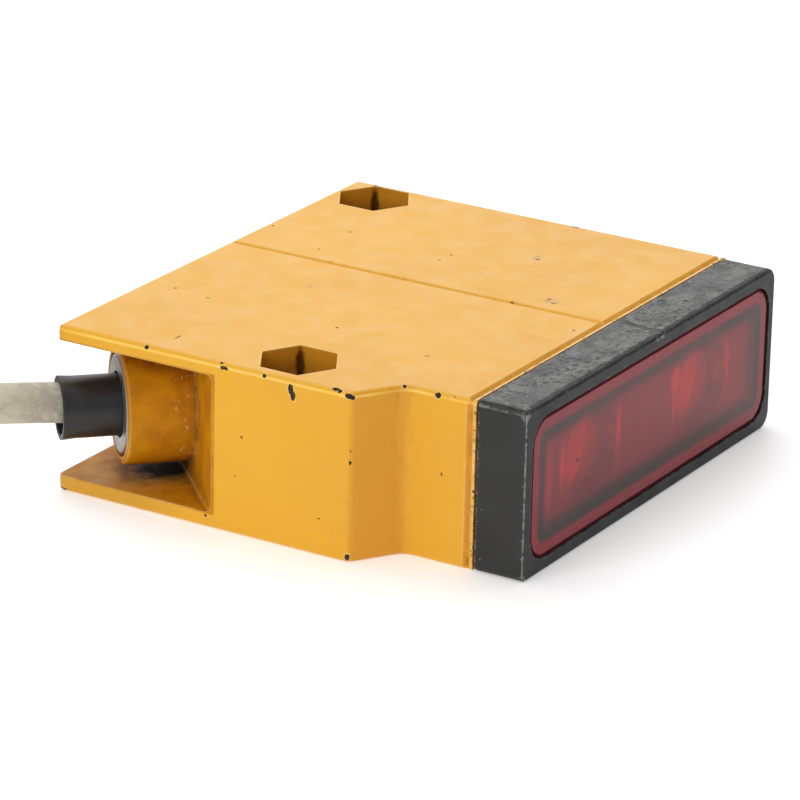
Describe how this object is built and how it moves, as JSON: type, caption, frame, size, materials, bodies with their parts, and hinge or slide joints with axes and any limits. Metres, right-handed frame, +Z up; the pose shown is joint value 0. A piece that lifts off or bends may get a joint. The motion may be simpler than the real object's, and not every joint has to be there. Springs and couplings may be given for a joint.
{
  "type": "photoelectric sensor",
  "caption": "Flat block photoelectric sensor with a wide red front window, corner cable outlet, nut pockets for through bolts and a coiled lead",
  "frame": {"origin": "middle of the base of the housing and bezel, on the surface that the sensor lies on", "axes": "+X from the rear face towards the lens window, +Y from the cable side to the far side, +Z up"},
  "size_m": [0.1801, 0.1231, 0.0249],
  "materials": {
    "yellow_paint": "satin",
    "black_paint": "satin",
    "red_window": "gloss",
    "clear_lens": "gloss",
    "black_plastic": "matte",
    "grey_rubber": "matte",
    "black_rubber": "matte",
    "circuit_board": "satin",
    "bright_steel": "satin",
    "component_black": "matte",
    "capacitor_blue": "gloss",
    "trimmer_blue": "satin",
    "white_plastic": "satin",
    "amber_lens": "gloss",
    "red_led": "gloss",
    "grey_jacket": "satin",
    "brown_core": "satin",
    "blue_core": "satin",
    "black_core": "satin"
  },
  "bodies": {
    "sensor": {"housing": "yellow_paint", "front_bezel": "black_paint", "window": "red_window", "window_gasket": "grey_rubber", "front_gasket": "black_rubber", "optics_carrier": "black_plastic", "emitter_lens": "clear_lens", "receiver_lens": "clear_lens", "optics_board": "circuit_board", "emitter_led": "clear_lens", "receiver_photodiode": "bright_steel", "main_board": "circuit_board", "microcontroller": "component_black", "amplifier_chip": "component_black", "output_transistor": "component_black", "supply_capacitor": "capacitor_blue", "filter_capacitor": "capacitor_blue", "inductor": "component_black", "board_header": "black_plastic", "carrier_screw_1": "bright_steel", "carrier_screw_2": "bright_steel", "carrier_screw_3": "bright_steel", "carrier_screw_4": "bright_steel", "board_screw_1": "bright_steel", "board_screw_2": "bright_steel", "trimmer_body": "trimmer_blue", "adjuster_seal": "black_rubber", "indicator_lens": "amber_lens", "indicator_led": "red_led", "gland_ring": "bright_steel", "cable_sleeve": "black_rubber", "cable_crimp": "bright_steel", "core_brown": "brown_core", "core_blue": "blue_core", "core_black": "black_core", "cable_run": "grey_jacket", "cable_coil": "grey_jacket", "cable_tail": "grey_jacket", "lead_brown": "brown_core", "lead_blue": "blue_core", "lead_black": "black_core", "lead_tip_brown": "bright_steel", "lead_tip_blue": "bright_steel", "lead_tip_black": "bright_steel"},
    "adjuster": {"adjuster_rotor": "white_plastic"}
  },
  "joints": [
    {"name": "sensitivity_turn", "type": "hinge", "parent": "sensor", "child": "adjuster", "pos_m": [-0.03325, 0.01002, 0.01238], "axis": [-1, 0, 0], "range_deg": [-135, 135]}
  ]
}
